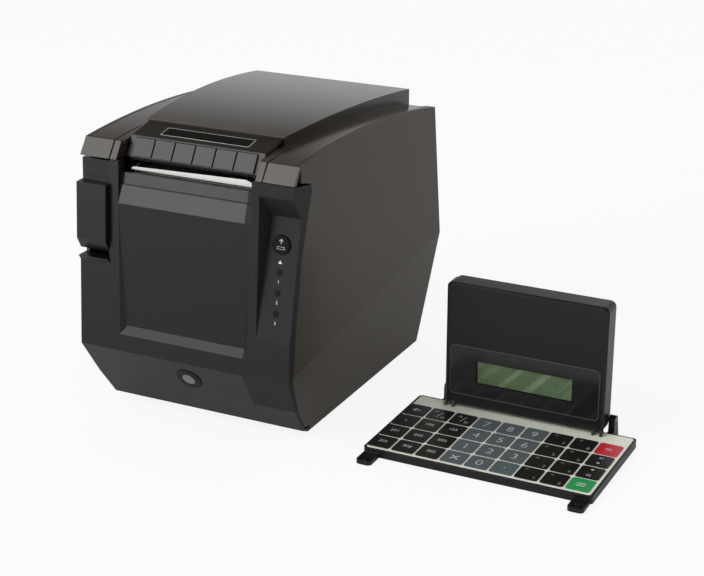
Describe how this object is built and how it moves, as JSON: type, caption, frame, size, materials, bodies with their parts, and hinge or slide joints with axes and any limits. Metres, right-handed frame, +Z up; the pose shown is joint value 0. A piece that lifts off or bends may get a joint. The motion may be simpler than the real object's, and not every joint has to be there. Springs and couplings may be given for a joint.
{
  "type": "ticket register",
  "caption": "Countertop receipt printer with hinged lid and paper slot, beside a flat keypad terminal with a tilting display.",
  "frame": {"origin": "on the table, under the middle of the box round the printer and its keypad", "axes": "+Z up, -Y towards the operator, +X to the operator's right"},
  "size_m": [0.312, 0.2094, 0.178],
  "materials": {
    "charcoal_plastic": "fine grain moulded plastic",
    "case_plastic": "fine grain moulded plastic",
    "insert_plastic": "satin moulded plastic",
    "inner_plastic": "moulded plastic",
    "button_plastic": "smooth moulded plastic",
    "clear_lens": "frosted lens plastic",
    "rubber": "moulded rubber",
    "steel": "plain steel",
    "plated_steel": "bright plated",
    "aluminium": "extruded",
    "gear_plastic": "natural acetal",
    "paper": "thermal paper",
    "cardboard": "wound core",
    "circuit_board": "green solder mask",
    "overlay_film": "pale printed film",
    "key_black": "printed film, dark",
    "key_slate": "printed film, slate",
    "key_red": "printed film, red",
    "key_green": "printed film, green",
    "window_plastic": "smoked clear plastic",
    "lcd_glass": "liquid crystal panel"
  },
  "bodies": {
    "base": {"base_tray": "inner_plastic", "rubber_feet": "rubber", "case_screws": "steel", "chassis_screws": "steel", "main_case": "case_plastic", "front_bezel": "charcoal_plastic", "status_lenses": "clear_lens", "chassis_frame": "steel", "feed_motor": "steel", "idler_pin": "steel", "print_head": "aluminium", "head_springs": "steel", "paper_bucket": "inner_plastic", "paper_web": "paper", "latch_spring": "steel", "lid_hinge_rod": "steel", "main_board": "circuit_board", "interface_plate": "steel", "power_socket": "inner_plastic", "usb_socket": "plated_steel", "network_socket": "plated_steel", "drawer_socket": "inner_plastic", "control_board": "circuit_board", "power_switch": "inner_plastic", "keypad_tray": "charcoal_plastic", "keypad_board": "circuit_board", "keypad_overlay": "overlay_film", "black_keys": "key_black", "digit_keys": "key_slate", "red_key": "key_red", "green_key": "key_green", "hinge_pins": "steel"},
    "feed_button": {"feed_button": "button_plastic"},
    "power_button": {"power_button": "button_plastic", "power_lens": "clear_lens"},
    "lid": {"lid_shell": "case_plastic", "top_insert": "insert_plastic", "tear_bar": "plated_steel", "lid_liner": "inner_plastic", "catch_pins": "steel", "platen_bushes": "gear_plastic"},
    "platen": {"platen_roller": "rubber", "platen_shaft": "steel", "platen_gear": "gear_plastic"},
    "idler": {"idler_gear": "gear_plastic"},
    "motor_rotor": {"motor_shaft": "steel", "motor_pinion": "gear_plastic"},
    "roll": {"paper_roll": "paper", "paper_core": "cardboard"},
    "lever": {"release_lever": "charcoal_plastic", "latch_shaft": "steel", "latch_hooks": "steel"},
    "display_head": {"head_front_shell": "charcoal_plastic", "head_rear_shell": "charcoal_plastic", "display_window": "window_plastic", "lcd_panel": "lcd_glass", "display_board": "circuit_board"}
  },
  "joints": [
    {"name": "lid_open", "type": "hinge", "parent": "base", "child": "lid", "pos_m": [-0.08605, 0.08825, 0.15554], "axis": [-1, 0, 0], "range_deg": [0, 85]},
    {"name": "platen_spin", "type": "hinge", "parent": "lid", "child": "platen", "pos_m": [-0.08605, -0.07275, 0.148], "axis": [1, 0, 0], "continuous": true},
    {"name": "motor_spin", "type": "hinge", "parent": "base", "child": "motor_rotor", "pos_m": [-0.03605, -0.07275, 0.11088], "axis": [1, 0, 0], "continuous": true},
    {"name": "idler_spin", "type": "hinge", "parent": "base", "child": "idler", "pos_m": [-0.03405, -0.07275, 0.12784], "axis": [1, 0, 0], "continuous": true},
    {"name": "roll_spin", "type": "hinge", "parent": "base", "child": "roll", "pos_m": [-0.08605, 0.00725, 0.0924], "axis": [1, 0, 0], "continuous": true},
    {"name": "lever_pull", "type": "hinge", "parent": "base", "child": "lever", "pos_m": [-0.14605, -0.06475, 0.1285], "axis": [1, 0, 0], "range_deg": [0, 6], "stiffness_Nm_per_rad": 0.3, "springref_deg": -8.59},
    {"name": "feed_press", "type": "slide", "parent": "base", "child": "feed_button", "axis": [0, 0.9766, -0.215], "range_m": [0, 0.001], "stiffness_N_per_m": 300, "springref_m": -0.0005},
    {"name": "power_press", "type": "slide", "parent": "base", "child": "power_button", "axis": [0, 0.8643, 0.5029], "range_m": [0, 0.0016], "stiffness_N_per_m": 300, "springref_m": -0.0005},
    {"name": "head_tilt", "type": "hinge", "parent": "base", "child": "display_head", "pos_m": [0.08705, 0.00555, 0.0114], "axis": [-1, 0, 0], "range_deg": [0, 60]}
  ],
  "couplings": [
    {"joint": "idler_spin", "follows": "roll_spin", "ratio": 3.8095},
    {"joint": "platen_spin", "follows": "roll_spin", "ratio": -5.7143},
    {"joint": "motor_spin", "follows": "roll_spin", "ratio": -9.5238}
  ]
}
